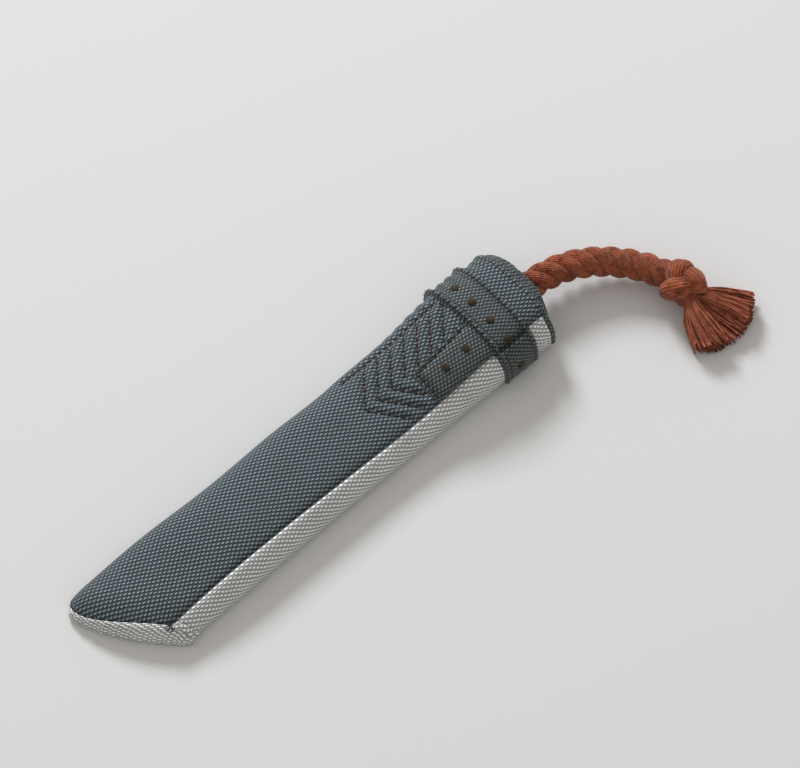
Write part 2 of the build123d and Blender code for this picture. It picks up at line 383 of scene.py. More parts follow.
def front_edge(y):
    """Where the bar's curved front edge is, at each place across."""
    y = np.clip(np.asarray(y, float), -28.0, 28.0)
    return np.polyval(front_curve, y) + 3.4 * np.clip((y - 17.0) / 8.0, 0, 1) ** 2.2


def cover_edge(y):
    """Where the dark cover stops: the front strip's seam, set back most near the long strip."""
    return front_edge(y) + 0.6 + 4.9 * smooth(16, -14, y)


def front_pinch(x, y):
    """How much of its thickness the bar keeps close to the front edge."""
    nearness = np.clip((23.0 - y) / 46.0, 0, 1)
    edge_height = 3.8 + 6.4 * nearness ** 0.8
    full = bar_thickness(np.maximum(x, -125.0))
    depth = np.clip((x - front_edge(y)) / (13.0 + 15.0 * nearness), 0, 1)
    return np.minimum(1.0, edge_height / full + (1 - edge_height / full) * (1 - (1 - depth) ** 2.4))


# %% [markdown]
# ### Looking the surface up
# Walking round each cross-section and adding up the steps gives the true distance over
# the cloth, so a stitch that is 2 mm long stays 2 mm long wherever it is. The whole shape
# goes into a table once, and `at` reads it back between its samples.

# %% Surface lookup
class BarSurface:
    """The bar's outer surface: `at(x, d)` is the point x along and d round from the seam."""

    LOOP_STEPS = 1441

    def __init__(self):
        self.x = np.linspace(-132.0, RIDGE_MM, 500)
        angle = np.linspace(0, 2 * np.pi, self.LOOP_STEPS)
        c, s = np.cos(angle)[None, :], np.sin(angle)[None, :]
        half = bar_width(self.x)[:, None] / 2
        thick, low = bar_thickness(self.x)[:, None], bar_underside(self.x)[:, None]
        upper = s >= 0
        front_bulge = 1.5 * np.exp(-(((self.x + 98) / 36) ** 2))
        middle_bulge = 0.8 * np.exp(-(((self.x + 6) / 18) ** 2))
        far_bulge = 0.9 + front_bulge + middle_bulge
        y = -half * np.sign(c) * np.abs(c) ** np.where(upper, 0.72, 0.5)
        y = y + far_bulge[:, None] * smooth(4.0, 24.0, y)
        share = np.where(upper, OVER_SHARE, UNDER_SHARE)
        rise = share * np.sign(s) * np.abs(s) ** np.where(upper, 0.78, 0.5)
        z = low + thick * (UNDER_SHARE + rise)
        steps = np.hypot(np.diff(y, axis=1), np.diff(z, axis=1))
        round_ = np.concatenate([np.zeros((len(self.x), 1)), np.cumsum(steps, axis=1)], axis=1)
        quarter = self.LOOP_STEPS // 4
        self.tables, self.reach = [], []
        for row in range(len(self.x)):
            seam = seam_y(self.x[row])
            top = np.interp(seam, y[row, :quarter], round_[row, :quarter])
            under = slice(3 * quarter, self.LOOP_STEPS)
            bottom = np.interp(-seam, -y[row, under], round_[row, under])
            self.tables.append((y[row], z[row], round_[row] - top))
            self.reach.append((bottom - top, top + round_[row, -1] - bottom))
        self.reach = np.array(self.reach)
        self.loop = np.array([table[2][-1] - table[2][0] for table in self.tables])
        self.length_round = np.linspace(-40.0, 130.0, 1701)
        self.y = np.array([self.wrapped(row, 0) for row in range(len(self.x))])
        self.z = np.array([self.wrapped(row, 1) for row in range(len(self.x))])

    def wrapped(self, row, which):
        y, z, distance = self.tables[row]
        loop = distance[-1] - distance[0]
        return np.interp(self.length_round, distance, (y, z)[which], period=loop)

    def dark_reach(self, x):
        return np.interp(x, self.x, self.reach[:, 0])

    def pale_reach(self, x):
        return np.interp(x, self.x, self.reach[:, 1])

    def loop_at(self, x):
        return np.interp(x, self.x, self.loop)

    def raw(self, x, d):
        """Plain y and z, before the front pinch."""
        column = np.clip((np.asarray(x) - self.x[0]) / (self.x[1] - self.x[0]), 0, len(self.x) - 1.001)
        line = (np.asarray(d) - self.length_round[0]) / (self.length_round[1] - self.length_round[0])
        line = np.clip(line, 0, len(self.length_round) - 1.001)
        i, j = column.astype(int), line.astype(int)
        fi, fj = column - i, line - j
        found = []
        for grid in (self.y, self.z):
            near = grid[i, j] * (1 - fj) + grid[i, j + 1] * fj
            far = grid[i + 1, j] * (1 - fj) + grid[i + 1, j + 1] * fj
            found.append(near * (1 - fi) + far * fi)
        return found

    def at(self, x, d, lift=0.0):
        """Points in millimetres; lift moves them out along the cross-section's normal."""
        x, d = np.broadcast_arrays(np.asarray(x, float), np.asarray(d, float))
        y, z = self.raw(x, d)
        y1, z1 = self.raw(x, d + 0.4)
        y0, z0 = self.raw(x, d - 0.4)
        size = np.hypot(y1 - y0, z1 - z0) + 1e-9
        out_y, out_z = -(z1 - z0) / size, (y1 - y0) / size
        low = bar_underside(x)
        pinch = front_pinch(x, y)
        x = x - smooth(98, 118, x) * (1.6 * smooth(-6, -26, y) + 1.4 * smooth(14, 26, y))
        z = low + (z - low) * pinch + out_z * lift
        return np.stack([x, y + out_y * lift, np.maximum(z, FLOOR_CLEARANCE_MM)], axis=-1)


surface = BarSurface()
print("dark cover reaches", round(float(surface.dark_reach(0)), 1), "mm round, the pale strip",
      round(float(surface.pale_reach(0)), 1), "mm")


# %% [markdown]
# ### Making a piece
# Every visible piece is made the same way: points and faces become a mesh, the mesh gets
# its material and the attribute that the material reads, and the piece is told which
# body it rides on. A piece can also be made with no body.

# %% Mesh maker
def new_piece(name, points_mm, faces, material, body, attribute=None, values=None, sharp=False):
    """A mesh from millimetre points, with an optional vector attribute for its material."""
    mesh = bpy.data.meshes.new(name)
    mesh.from_pydata((np.asarray(points_mm) * MM).tolist(), [], faces)
    if attribute:
        layer = mesh.attributes.new(attribute, "FLOAT_VECTOR", "POINT")
        layer.data.foreach_set("vector", np.asarray(values, float).ravel())
    mesh.materials.append(material)
    mesh.polygons.foreach_set("use_smooth", [not sharp] * len(mesh.polygons))
    mesh.update()
    piece = bpy.data.objects.new(name, mesh)
    bpy.context.scene.collection.objects.link(piece)
    if body:
        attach(piece, body)
    return piece


def grid_faces(rows, columns, ring=False, offset=0, flip=False):
    """Quads of a rows by columns grid; ring joins the last column to the first."""
    faces = []
    for i in range(rows - 1):
        for j in range(columns if ring else columns - 1):
            k = (j + 1) % columns
            quad = (i * columns + j, (i + 1) * columns + j, (i + 1) * columns + k, i * columns + k)
            faces.append(tuple(v + offset for v in (quad[::-1] if flip else quad)))
    return faces


print("helpers ready")

# %% [markdown]
# ## Decorative stitching
# Rows of slanted stitches quilt the rear half of the bar. They pull the cloth down, and
# the stuffing pushes it up between them, so the rows are laid out first: the top cover's
# mesh dips along them, and the thread is put in afterwards. The pattern is a plain set of
# nested chevrons.

# %% Stitch layout
CHEVRON_COUNT, CHEVRON_STEP_MM = 7, 7.6
CHEVRON_TIP_MM, CHEVRON_TIP_ROUND_MM = 29.0, 19.0
BORDER_FRONT_MM, BORDER_ROUND_MM = 31.0, 37.6
PATCH_FRONT_MM, COLLAR_FRONT_MM, COLLAR_REAR_MM = 54.5, 87.0, 107.5


def stitch_lines():
    """Each row as points (along, round) in millimetres."""
    lines = []
    for step in range(CHEVRON_COUNT):
        tip = CHEVRON_TIP_MM + CHEVRON_STEP_MM * step
        lines.append([(tip, CHEVRON_TIP_ROUND_MM), (tip + 13.5, 35.5)])
        near_end = min(tip + 12.0, PATCH_FRONT_MM - 1.5)
        if near_end > tip + 3:
            near_round = CHEVRON_TIP_ROUND_MM - 16.0 * (near_end - tip) / 12.0
            lines.append([(tip, CHEVRON_TIP_ROUND_MM), (near_end, near_round)])
    rear = COLLAR_FRONT_MM - 1.0
    patch_row = PATCH_FRONT_MM + 1.6
    lines.append([(BORDER_FRONT_MM, BORDER_ROUND_MM), (rear, BORDER_ROUND_MM)])
    lines.append([(patch_row, 2.0), (patch_row, 16.2), (rear, 18.0)])
    return lines


def distance_to_lines(x, d, lines):
    """How far each place on the cloth is from the nearest row of stitches."""
    nearest = np.full(np.shape(x), 1e3)
    for line in lines:
        for (ax, ad), (bx, bd) in zip(line, line[1:]):
            span = (bx - ax) ** 2 + (bd - ad) ** 2
            t = np.clip(((x - ax) * (bx - ax) + (d - ad) * (bd - ad)) / span, 0, 1)
            nearest = np.minimum(nearest, np.hypot(x - ax - t * (bx - ax), d - ad - t * (bd - ad)))
    return nearest


LINES = stitch_lines()
print(len(LINES), "rows of stitches")


# %% [markdown]
# ### Relief of the cloth
# Three things shape the cover: each row of stitches pulls it down, the stuffing puffs it
# up between the rows, and it is never filled quite evenly. Each is a small lift in
# millimetres, and they simply add up.

# %% Cloth relief
def ripple(x, d, seed):
    """Slow, uneven waves: the way stuffing never fills cloth evenly."""
    source = np.random.default_rng(seed)
    total = np.zeros(np.shape(x))
    for _ in range(7):
        fx, fd, phase = source.uniform(0.02, 0.16), source.uniform(0.02, 0.22), source.uniform(0, 6.28)
        total = total + np.sin(fx * x + fd * d + phase) * source.uniform(0.5, 1.0)
    return total / 4.0


def cloth_relief(x, d):
    """Lift of the dark cover off the plain surface, in millimetres."""
    quilt = smooth(22, 34, x)
    stitched = distance_to_lines(x, d, LINES)
    dip = -0.75 * np.exp(-((stitched / 1.1) ** 2))
    puff = 0.45 * quilt * smooth(0.6, 3.4, stitched) * smooth(50, 40, d)
    side_gathers = 0.3 * smooth(40, 80, x) * np.sin(x * 0.95 + ripple(x, d, 3)) * smooth(30, 40, d)
    return dip + puff + side_gathers + 0.3 * ripple(x, d, 11)


def seam_dip(distance, depth=1.3, width=1.15):
    return -depth * np.exp(-((distance / width) ** 2))


print("deepest stitch dip", round(float(cloth_relief(np.array([40.0]), np.array([32.0]))[0]), 2), "mm")

# %% [markdown]
# ## Dark cover and pale strip
# Both are grids over the same surface. The dark cover goes from the near seam over the
# top, round the far side and under the bar. The pale strip takes the rest. Each grid's
# first row follows the curved front edge, so nothing has to be cut afterwards.


# %% Panels
def panel_grid(reach, first_row, rows, columns, lift):
    """Points and cloth places: rows run round the bar, from the front edge to the ridge."""
    v = np.linspace(0, 1, columns)
    d = reach(-108.0) * v
    first = first_row(surface.raw(np.full(columns, -108.0), d)[0], d)
    u = np.linspace(0, 1, rows)[:, None]
    x = first[None, :] * (1 - u) + RIDGE_MM * u
    distance = reach(x) * v[None, :]
    points = surface.at(x, distance, lift(x, distance, reach(x), x - first[None, :]))
    return points, np.stack([x, distance, np.zeros_like(x)], axis=-1)


def dark_lift(x, d, reach, from_front=1e3):
    return cloth_relief(x, d) + seam_dip(d) + seam_dip(reach - d) + seam_dip(from_front, 1.0, 1.2)


def pale_lift(x, d, reach, from_front=1e3):
    away = -d
    pull = 0.16 * np.sin(x * 1.15 + 0.8 * ripple(x, d, 5)) * smooth(20, 60, x)
    folded_end = 0.7 * smooth(3.4, 2.2, from_front) - 0.5 * np.exp(-(((from_front - 3.4) / 0.5) ** 2))
    return 0.25 + seam_dip(away, 1.2, 0.9) + seam_dip(-reach - away, 1.2, 0.9) + pull \
        + 0.12 * ripple(x, d, 8) + folded_end


def pale_first_row(y, d):
    """The long strip's folded end laps over the front strip."""
    return front_edge(y) + 5.2 - 2.8 * smooth(0, 12, -d)


def make_panel(name, reach, first_row, rows, columns, lift, material, flip):
    points, cloth = panel_grid(reach, first_row, rows, columns, lift)
    return new_piece(name, points.reshape(-1, 3), grid_faces(rows, columns, flip=flip), material,
                     BUMPER, "cloth", cloth.reshape(-1, 3))


def backwards(reach):
    return lambda x: -reach(x)


dark_cover = make_panel("dark_cover", surface.dark_reach, lambda y, d: cover_edge(y), 420, 190, dark_lift,
                        slate_weave, True)
pale_strip = make_panel("pale_edge_strip", backwards(surface.pale_reach), pale_first_row, 420, 60, pale_lift,
                        pale_weave, False)
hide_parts("top_cover", "bottom_cover")
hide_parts("edge_strip")
print("dark cover faces", len(dark_cover.data.polygons))


# %% [markdown]
# ## Front strip
# The front end is closed by a narrow roll of the pale cloth. It is thin at the far corner
# and thickest at the near one, where the long strip's end laps over it and a few dark
# yarn ends stick out of the seam.

# %% Front strip
FRONT_ROWS, FRONT_COLUMNS = 130, 22
FRONT_SAMPLE_X_MM = -108.0


def sorted_top(x):
    """Distances round, ordered by y, for the top of the bar near x."""
    d = np.linspace(-9.0, 48.0, 400)
    y = surface.raw(np.full(400, x), d)[0]
    order = np.argsort(y)
    return y[order], d[order]


def front_roll():
    y = np.linspace(-25.4, 24.6, FRONT_ROWS)[:, None]
    u = np.linspace(0, 1, FRONT_COLUMNS)[None, :]
    seam = cover_edge(y) + 0.5
    seam_distance = np.interp(y[:, 0], *sorted_top(FRONT_SAMPLE_X_MM))
    top = surface.at(seam[:, 0], seam_distance)[:, 2][:, None]
    front = front_edge(y) - 0.7 - 0.35 * np.sin(y * 1.3 + 1.2 * np.sin(y * 0.31))
    front = seam + (front - seam) * (0.15 + 0.85 * smooth(24.8, 21.0, y))
    widest = 0.3 * top
    down = np.clip(u / 0.72, 0, 1) * math.pi / 2
    under = np.clip((u - 0.72) / 0.28, 0, 1) * math.pi / 2
    x = seam + (front - seam) * np.sin(down) ** 0.9 + 1.6 * (1 - np.cos(under))
    z = (widest + (top - 0.2 - widest) * np.cos(down) ** 0.85) * (1 - np.sin(under)) + 0.12
    y_grid = np.broadcast_to(y, x.shape)
    cloth = np.stack([y_grid, u * (top + seam - front), np.zeros_like(x)], axis=-1)
    return np.stack([x, y_grid, z], axis=-1), cloth


points, cloth = front_roll()
front_strip = new_piece("pale_front_strip", points.reshape(-1, 3),
                        grid_faces(FRONT_ROWS, FRONT_COLUMNS), pale_weave, BUMPER,
                        "cloth", cloth.reshape(-1, 3))
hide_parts("tip_strip")
print("front strip", FRONT_ROWS, "by", FRONT_COLUMNS)


# %% [markdown]
# ## Collar
# The collar is a wide band sewn round the bar and gathered, so it ripples where it turns
# down the far side. Each end is folded over into a hem. It dips into the near seam and
# bulges over the pale strip, which comes out again behind it.

# %% Rings round the bar
def ring_piece(name, x_places, lift, material, columns=300, cloth_shift=0.0):
    """A tube round the bar; lift gives its height off the bar at each place."""
    share = np.linspace(0, 1, columns, endpoint=False)[None, :]
    x = np.asarray(x_places, float)[:, None] * np.ones_like(share)
    loop = surface.loop_at(x)
    d = share * loop
    wrapped = np.where(d > surface.dark_reach(x), d - loop, d)
    points = surface.at(x, wrapped, lift(x, wrapped))
    points[..., 2] = np.maximum(points[..., 2], 0.05)
    cloth = np.stack([x + cloth_shift, wrapped, np.zeros_like(x)], axis=-1)
    return new_piece(name, points.reshape(-1, 3), grid_faces(len(x_places), columns, ring=True, flip=True),
                     material, BUMPER, "cloth", cloth.reshape(-1, 3))


COLLAR_LIFT_MM = 1.55


def near_groove(d):
    return seam_dip(d, 2.6, 1.0) + seam_dip(d + 25.5, 0.8, 2.0)


def collar_lift(x, d):
    ends = smooth(COLLAR_FRONT_MM, COLLAR_FRONT_MM + 1.2, x)
    ends = ends * smooth(COLLAR_REAR_MM, COLLAR_REAR_MM - 1.2, x)
    gathers = 0.42 * np.sin(x * 1.28 + 0.9 * ripple(x, d, 21)) * (0.25 + 0.75 * smooth(26, 42, d))
    hem_lines = seam_dip(x - COLLAR_FRONT_MM - 3.3, 0.8, 0.5) + seam_dip(COLLAR_REAR_MM - 3.1 - x, 0.5, 0.5)
    roll = 1.5 * np.exp(-(((x - COLLAR_FRONT_MM - 1.6) / 1.5) ** 2))
    roll = roll + 1.05 * np.exp(-(((x - COLLAR_REAR_MM + 1.6) / 1.4) ** 2))
    roll = roll * (1 - 0.8 * smooth(-2, -8, d))
    pucker = 0.22 * np.sin(d * 1.9 + 2.0 * ripple(x * 0.2, d, 4)) * (roll + 0.1)
    folds = gathers * 0.8 + hem_lines + roll + pucker
    return 0.1 + ends * (COLLAR_LIFT_MM + folds + near_groove(d) + 0.2 * ripple(x, d, 17))


collar_places = np.linspace(COLLAR_FRONT_MM - 0.3, COLLAR_REAR_MM + 0.3, 84)
collar = ring_piece("collar", collar_places, collar_lift, collar_weave_shaded, 360, 0.6)
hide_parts("collar_band", "collar_front_hem", "collar_rear_hem")
print("collar faces", len(collar.data.polygons))


# %% [markdown]
# ## End panel
# Behind the collar the bar is closed by a rounded panel, with a raised seam round its
# edge. The rope comes out of a hole in its middle.

# %% End panel
def ridge_lift(x, d):
    across = (x - RIDGE_MM) / 1.5
    round_top = np.maximum(0.0, 1 - across ** 2) ** 0.5
    return round_top * (0.95 + 0.2 * np.sin(d * 1.7)) - 0.1 + 0.4 * seam_dip(d, 1.9, 1.5)


end_ridge = ring_piece("end_seam", RIDGE_MM + np.linspace(-1.5, 1.5, 13), ridge_lift, collar_weave_shaded,
                       300)
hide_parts("end_seam_ridge")
CAP_ROWS, CAP_COLUMNS, HOLE_SHARE = 40, 240, 0.16


def end_cap():
    share = np.linspace(0, 1, CAP_COLUMNS, endpoint=False)
    x_edge = np.full(CAP_COLUMNS, RIDGE_MM)
    loop = surface.loop_at(x_edge)
    d = share * loop
    d = np.where(d > surface.dark_reach(x_edge), d - loop, d)
    rim = surface.at(x_edge, d, -0.2)
    centre = np.array([0.0, ROPE_EXIT[2] / MM])
    rows, cloth = [], []
    for step in np.linspace(0, 1, CAP_ROWS):
        turn = step * math.pi / 2
        size = max(HOLE_SHARE, math.cos(turn) ** 0.62)
        dimple = 1.2 * math.exp(-((step - 1) / 0.22) ** 2)
        fullness = 0.9 + 2.6 * smooth(-8, -24, rim[:, 1])
        x = rim[:, 0] + (END_MM - rim[:, 0]) * math.sin(turn) ** fullness - dimple
        tuck = 0.18 * np.sin(d * 1.1 + 1.5 * np.sin(d * 0.37)) * math.sin(2 * turn)
        ring = centre + (rim[:, 1:] - centre) * size
        rows.append(np.column_stack([x + tuck, ring]))
        cloth.append(np.column_stack([ring[:, 1] * 1.1 + x, ring[:, 0], np.zeros(CAP_COLUMNS)]))
    return np.array(rows), np.array(cloth)


points, cloth = end_cap()
end_panel = new_piece("end_panel_cloth", points.reshape(-1, 3),
                      grid_faces(CAP_ROWS, CAP_COLUMNS, ring=True, flip=True), collar_weave_shaded,
                      BUMPER, "cloth", cloth.reshape(-1, 3))
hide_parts("end_panel")
print("end panel rows", CAP_ROWS)


# %% [markdown]
# ## Reinforcing patch
# A second layer of the dark cloth, stitched on beside the collar where the bar is gripped.
# Its edges are turned under, so they are soft and slightly raised.

# %% Patch
def patch_piece():
    rows, columns = 90, 56
    u, v = np.linspace(0, 1, rows)[:, None], np.linspace(0, 1, columns)[None, :]
    top_edge = 18.0 + 2.0 * u
    x = PATCH_FRONT_MM + (COLLAR_FRONT_MM + 1.5 - PATCH_FRONT_MM) * u * np.ones_like(v)
    d = 0.5 + (top_edge - 0.5) * v
    from_edge = np.minimum(np.minimum(x - PATCH_FRONT_MM, d - 0.5), top_edge - d)
    lift = dark_lift(x, d, surface.dark_reach(x)) + 0.1 + 0.85 * np.sqrt(np.clip(from_edge / 0.9, 0, 1))
    points = surface.at(x, d, lift)
    cloth = np.stack([x * 0.93 + d * 0.37 + 0.4, d * 0.93 - x * 0.37, np.zeros_like(x)], axis=-1)
    return new_piece("grip_patch", points.reshape(-1, 3), grid_faces(rows, columns, flip=True), collar_weave_shaded,
                     BUMPER, "cloth", cloth.reshape(-1, 3))


patch = patch_piece()
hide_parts("reinforcement_patch")
print("patch faces", len(patch.data.polygons))


# %% [markdown]
# ## Threads
# A stitch is a short length of two-ply thread that dives into the cloth at both ends. One
# function makes a tube along any line, with a twisted two- or three-ply cross-section, and
# stitches, dots, yarn ends, rope strands and tassel yarns all use it.

# %% Tubes
def frames_along(line, up=(0.0, 0.0, 1.0)):
    """Tangent, side and normal at each point, turned as little as possible along the line."""
    tangent = np.gradient(line, axis=0)
    tangent /= np.linalg.norm(tangent, axis=1)[:, None]
    side = np.cross(up, tangent[0])
    side /= np.linalg.norm(side)
    sides = []
    for direction in tangent:
        side = side - direction * np.dot(side, direction)
        side = side / np.linalg.norm(side)
        sides.append(side)
    sides = np.array(sides)
    return tangent, sides, np.cross(tangent, sides)


def tube(line, radius, sides, ply, lay, depth, taper=0.25):
    """Points and faces of a closed tube; ply lobes wind round it once per lay."""
    line = np.asarray(line, float)
    _, side, normal = frames_along(line, (0.13, 0.07, 1.0))
    steps = np.linalg.norm(np.diff(line, axis=0), axis=1)
    along = np.concatenate([[0.0], np.cumsum(steps)])
    turn = np.linspace(0, 2 * np.pi, sides, endpoint=False)[None, :]
    size = np.ones(len(line))
    size[0] = size[-1] = taper
    wound = turn - 2 * np.pi * along[:, None] / lay
    lobes = 1 - depth + depth * np.abs(np.cos(ply / 2 * wound))
    reach = radius * size[:, None] * lobes * np.ones_like(turn)
    points = line[:, None, :] + reach[..., None] * (
        side[:, None, :] * np.cos(turn)[..., None] + normal[:, None, :] * np.sin(turn)[..., None])
    faces = grid_faces(len(line), sides, ring=True, flip=True)
    faces.append(tuple(range(sides)))
    faces.append(tuple(reversed(range((len(line) - 1) * sides, len(line) * sides))))
    twist = np.stack([along[:, None] * np.ones_like(turn), np.cos(turn) * radius * np.ones_like(reach),
                      np.sin(turn) * radius * np.ones_like(reach)], axis=-1)
    return points.reshape(-1, 3), faces, twist.reshape(-1, 3)


class Bundle:
    """Gathers many tubes into one mesh."""

    def __init__(self):
        self.points, self.faces, self.twist, self.count = [], [], [], 0

    def add(self, points, faces, twist):
        self.faces += [tuple(v + self.count for v in face) for face in faces]
        self.points.append(points)
        self.twist.append(twist + rng.uniform(0, 90, 3) * (1, 0, 0))
        self.count += len(points)

    def piece(self, name, material, slot, body):
        return new_piece(name, np.concatenate(self.points), self.faces, material, body,
                         "twist", np.concatenate(self.twist))


def on_cover(x, d, lift):
    """Points on the dark cover as it really lies, lifted by so much."""
    x, d = np.asarray(x, float), np.asarray(d, float)
    return surface.at(x, d, dark_lift(x, d, surface.dark_reach(x)) + lift)


PATCH_LIFT_MM = 0.95


def on_patch(x, d, lift):
    return on_cover(x, d, PATCH_LIFT_MM + lift)


print("thread tools ready")

# %% Decorative stitches
STITCH_MM, STITCH_GAP_MM, THREAD_RADIUS_MM = 2.1, 0.9, 0.38


def sew(bundle, line, place):
    """Lays running stitches along a line of (along, round) places."""
    line = np.asarray(line, float)
    steps = np.hypot(*np.diff(line, axis=0).T)
    total = np.concatenate([[0.0], np.cumsum(steps)])
    start = 0.4
    while start + STITCH_MM < total[-1]:
        at = start + np.linspace(0, 1, 9) * STITCH_MM * rng.uniform(0.9, 1.1)
        x, d = np.interp(at, total, line[:, 0]), np.interp(at, total, line[:, 1])
        bow = 0.52 * np.sin(np.linspace(0, np.pi, 9)) ** 0.6 - 0.18
        bundle.add(*tube(place(x, d, bow), THREAD_RADIUS_MM, 8, ply=2, lay=1.7, depth=0.2))
        start += STITCH_MM + STITCH_GAP_MM


stitches = Bundle()
for row in LINES[:-1]:
    sew(stitches, row, on_cover)
sew(stitches, LINES[-1], on_patch)
topstitching = stitches.piece("topstitching", stitch_thread, "brown_thread", BUMPER)
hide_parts("topstitch_threads")
print("stitches", len(stitches.points))


# %% [markdown]
# ## Embroidered dots
# Each dot is satin stitch: threads laid side by side over a little padding, so it is a
# ribbed dome. The threads are arcs of circles across the dot.

# %% Embroidered dots
DOT_RADIUS_MM, DOT_THREADS = 1.75, 11


def dot_threads(bundle, x, d, place, radius=DOT_RADIUS_MM):
    heading = rng.uniform(0.3, 0.9)
    for step in range(DOT_THREADS):
        offset = radius * 0.94 * (2 * (step + 0.5) / DOT_THREADS - 1)
        half = math.sqrt(max(radius ** 2 - offset ** 2, 0.04))
        along = np.linspace(-half, half, 12)
        dome = 0.95 * np.sqrt(np.clip(1 - (along ** 2 + offset ** 2) / (radius * 1.06) ** 2, 0, 1)) - 0.12
        px = x + along * math.cos(heading) - offset * math.sin(heading)
        pd = d + along * math.sin(heading) + offset * math.cos(heading)
        bundle.add(*tube(place(px, pd, dome), 0.24, 6, ply=2, lay=1.4, depth=0.15, taper=0.4))


def on_collar(x, d, lift):
    return surface.at(x, d, collar_lift(np.asarray(x), np.asarray(d)) + lift)


DOT_SPACING_MM, PATCH_DOT_COUNT = 12.0, 2
COLLAR_DOTS_MM = (35.0, 24.4, 12.8, 2.0, -12.0)
collar_middle = (COLLAR_FRONT_MM + COLLAR_REAR_MM) / 2 - 1.4
collar_bundle = Bundle()
for place_round in COLLAR_DOTS_MM:
    dot_threads(collar_bundle, collar_middle, place_round, on_collar)
collar_dot_piece = collar_bundle.piece("collar_dot_embroidery", brown_thread, "brown_thread", BUMPER)
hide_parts("collar_dots")
patch_bundle = Bundle()
for step in range(PATCH_DOT_COUNT):
    dot_threads(patch_bundle, PATCH_FRONT_MM + 12.4 + DOT_SPACING_MM * step, 9.8 + 0.4 * step, on_patch)
patch_dot_piece = patch_bundle.piece("patch_dot_embroidery", brown_thread, "brown_thread", BUMPER)
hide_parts("patch_dots")
print("dots", len(COLLAR_DOTS_MM) + PATCH_DOT_COUNT)

# %% [markdown]
# ## Loose yarn ends
# Where the two pale strips meet, a few dark yarns of the cover's cut edge stick out of the
# seam. Each leaves it in its own direction, lifts a little and comes down again.

# %% Loose yarn ends
LOOSE_COUNT, LOOSE_RADIUS_MM = 8, 0.26
loose = Bundle()
corner_x = float(cover_edge(-15.5))
for _ in range(LOOSE_COUNT):
    x0, d0 = corner_x + rng.uniform(-0.4, 1.2), rng.uniform(-0.8, 0.8)
    reach_mm, heading = rng.uniform(1.6, 3.4), rng.uniform(2.6, 4.2)
    t = np.linspace(0, 1, 8)
    x = x0 + reach_mm * t * math.cos(heading)
    d = d0 + reach_mm * t * math.sin(heading)
    line = surface.at(x, d, 0.7 + 0.6 * np.sin(t * 2.4) * rng.uniform(0.5, 1.0))
    loose.add(*tube(line, LOOSE_RADIUS_MM, 6, ply=2, lay=1.5, depth=0.15))
loose_ends = loose.piece("loose_yarn_ends", loose_thread, "dark_thread", BUMPER)
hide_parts("corner_threads")
print("loose ends", len(loose.points))

# %% [markdown]
# ## Rope
# Three strands are laid together, right-handed, and each strand is itself many yarns
# twisted the other way. The strands are real tubes that wind round the route, and their
# cross-section has a yarn relief that counter-rotates. The strands run on through the
# knot to the tassel's neck, as they do in the real rope.

# %% Rope strands
STRAND_RADIUS_MM, STRAND_OFFSET_MM, LAY_MM = 3.35, 3.45, 24.0
STRAND_YARNS, STRAND_TWIST_MM = 13, -27.0


def strand_points(line_mm, phase):
    """The middle of one strand as it winds round the rope's line."""
    _, side, normal = frames_along(line_mm)
    steps = np.linalg.norm(np.diff(line_mm, axis=0), axis=1)
    along = np.concatenate([[0.0], np.cumsum(steps)])
    angle = 2 * np.pi * along / LAY_MM + phase
    return line_mm + STRAND_OFFSET_MM * (side * np.cos(angle)[:, None] + normal * np.sin(angle)[:, None])


rope_mm = rope_line / MM
strands = Bundle()
for strand in range(3):
    wave = strand_points(rope_mm, 2 * np.pi * strand / 3 + 0.6)
    strands.add(*tube(wave, STRAND_RADIUS_MM, 52, ply=STRAND_YARNS, lay=STRAND_TWIST_MM, depth=0.045,
                      taper=0.8))
rope_piece = strands.piece("twisted_rope", cotton, "rust_cotton", None)
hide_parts("rope", "rope_root")
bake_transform(rope_piece)
print("strand faces", len(rope_piece.data.polygons))


# %% [markdown]
# ## Knot and tassel
# The knot is one rope end passed round itself, which leaves three fat lobes. A trefoil
# curve has that shape, so a soft tube along it makes the lump. Below it the strands are
# unlaid into loose yarns, which fan out over the floor and are cut off nearly square.

# %% Knot
KNOT_CENTRE_MM = np.array([175.4, -44.4, 10.6])
KNOT_TUBE_MM = 5.2


def knot_line():
    """A trefoil, flattened, turned a little and set in its place."""
    t = np.linspace(0, 2 * np.pi, 220, endpoint=False)
    x = np.sin(t) + 2 * np.sin(2 * t)
    y = np.cos(t) - 2 * np.cos(2 * t)
    z = -np.sin(3 * t)
    loose_shape = np.column_stack([x * 2.05, y * 2.05, z * 3.8])
    turn = math.radians(14)
    spin = np.array([[math.cos(turn), -math.sin(turn), 0], [math.sin(turn), math.cos(turn), 0], [0, 0, 1]])
    return loose_shape @ spin.T + KNOT_CENTRE_MM


knot_bundle = Bundle()
closed = knot_line()
closed = np.concatenate([closed, closed[:1]])
knot_bundle.add(*tube(closed, KNOT_TUBE_MM, 48, ply=3, lay=-24.0, depth=0.1, taper=1.0))
knot_piece = knot_bundle.piece("rope_knot_lobes", cotton, "rust_cotton", TAIL)
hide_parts("rope_knot")
print("knot low and high", closed[:, 2].min() - KNOT_TUBE_MM, closed[:, 2].max() + KNOT_TUBE_MM)

# %% Tassel
YARN_COUNT, YARN_RADIUS_MM = 520, 0.4
NECK_MM = np.array([175.2, -53.0, 8.6])
FAN_FROM, FAN_TO = math.radians(-35), math.radians(-128)


